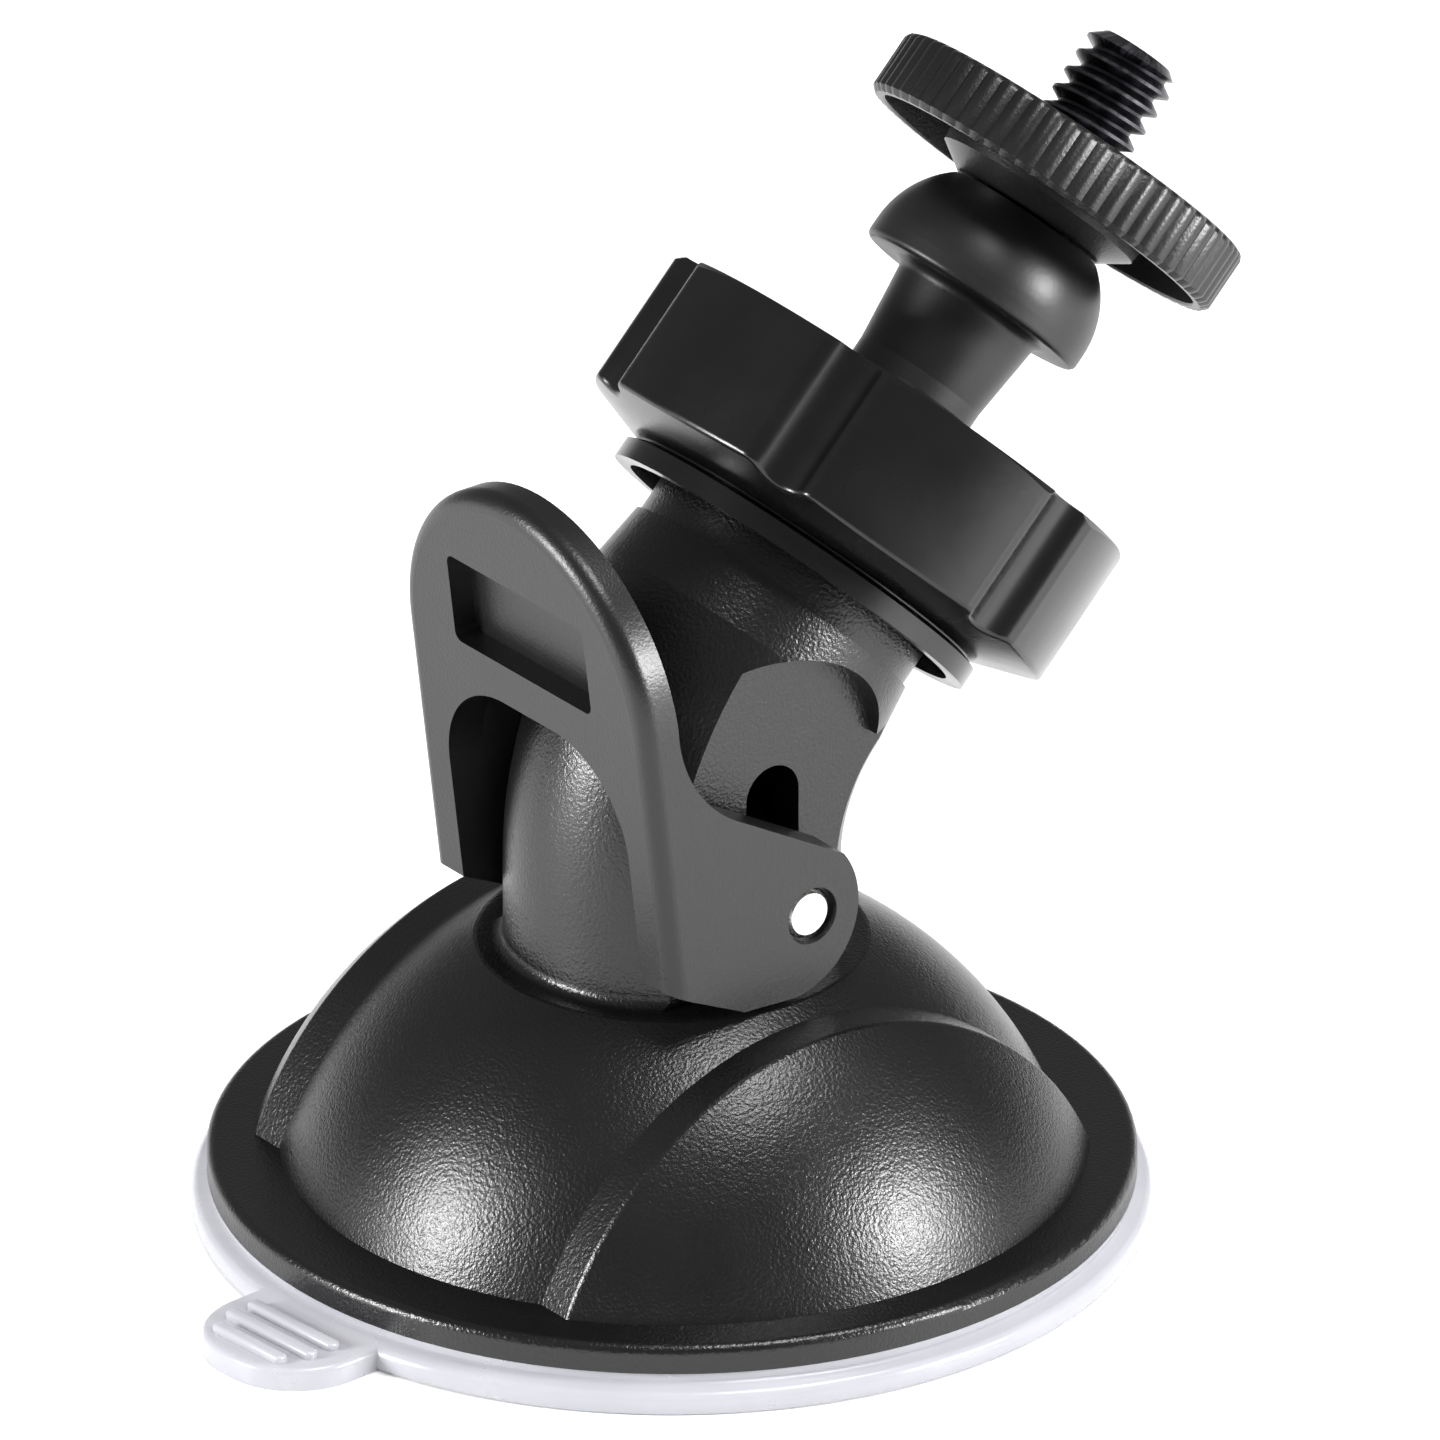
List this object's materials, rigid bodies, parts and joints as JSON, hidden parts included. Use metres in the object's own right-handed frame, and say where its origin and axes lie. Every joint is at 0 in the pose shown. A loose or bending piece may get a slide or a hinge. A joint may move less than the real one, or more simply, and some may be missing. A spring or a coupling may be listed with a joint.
{
  "type": "suction-cup camera mount",
  "caption": "Suction-cup windscreen mount with cam lever, angled ball socket, lobed lock nut and a quarter-inch camera stud with a knurled thumb wheel.",
  "frame": {"origin": "middle of the suction pad's flat underside", "axes": "+Z away from the glass, +X the way the ball head leans, lever pin along Y"},
  "size_m": [0.0754, 0.0588, 0.0707],
  "materials": {
    "clear_tpu": "clear bluish-white soft TPU, smooth",
    "grained_abs": "black spark-grained ABS",
    "core_plastic": "black nylon",
    "bright_steel": "bright drawn steel",
    "satin_abs": "black satin ABS, fine grain",
    "nylon": "natural nylon",
    "stem_plastic": "black semi-gloss ABS",
    "black_steel": "black-plated steel",
    "wheel_plastic": "black semi-gloss ABS, knurled rim",
    "washer_rubber": "black rubber",
    "nut_plastic": "black semi-gloss ABS"
  },
  "bodies": {
    "base": {"suction_pad": "clear_tpu", "housing": "grained_abs"},
    "pull": {"pull_core": "core_plastic", "lever_pin": "bright_steel"},
    "lever": {"cam_lever": "satin_abs"},
    "ring": {"clamp_ring": "nylon"},
    "nut": {"lock_nut": "nut_plastic"},
    "seat": {"ball_seat": "nylon"},
    "head": {"ball_stem": "stem_plastic", "camera_stud": "black_steel"},
    "washer": {"wheel_washer": "washer_rubber"},
    "wheel": {"thumb_wheel": "wheel_plastic"}
  },
  "joints": [
    {"name": "pull_slide", "type": "slide", "parent": "base", "child": "pull", "axis": [0, 0, 1], "range_m": [0, 0.0064]},
    {"name": "lever_swing", "type": "hinge", "parent": "pull", "child": "lever", "pos_m": [0.0015, 0, 0.0235], "axis": [0, -1, 0], "range_deg": [0, 68]},
    {"name": "ring_slide", "type": "slide", "parent": "base", "child": "ring", "axis": [0.7009, 0, 0.7133], "range_m": [0, 0.0021]},
    {"name": "nut_turn", "type": "hinge", "parent": "ring", "child": "nut", "pos_m": [0, 0, 0.0308], "axis": [0.7009, 0, 0.7133], "range_deg": [0, 360]},
    {"name": "head_swivel", "type": "hinge", "parent": "base", "child": "seat", "pos_m": [0, 0, 0.0308], "axis": [0.7009, 0, 0.7133], "continuous": true},
    {"name": "head_tilt", "type": "hinge", "parent": "seat", "child": "head", "pos_m": [0.01353, 0, 0.04457], "axis": [0, 1, 0], "range_deg": [-21, 21]},
    {"name": "washer_slide", "type": "slide", "parent": "head", "child": "washer", "axis": [0.7009, 0, 0.7133], "range_m": [0, 0.002]},
    {"name": "wheel_turn", "type": "hinge", "parent": "washer", "child": "wheel", "pos_m": [0.02804, 0, 0.05933], "axis": [0.7009, 0, 0.7133], "range_deg": [0, 540]}
  ],
  "couplings": [
    {"joint": "pull_slide", "follows": "lever_swing", "m_per_rad": 0.0051419},
    {"joint": "ring_slide", "follows": "nut_turn", "m_per_rad": 0.00031831},
    {"joint": "washer_slide", "follows": "wheel_turn", "m_per_rad": 0.00020213}
  ]
}
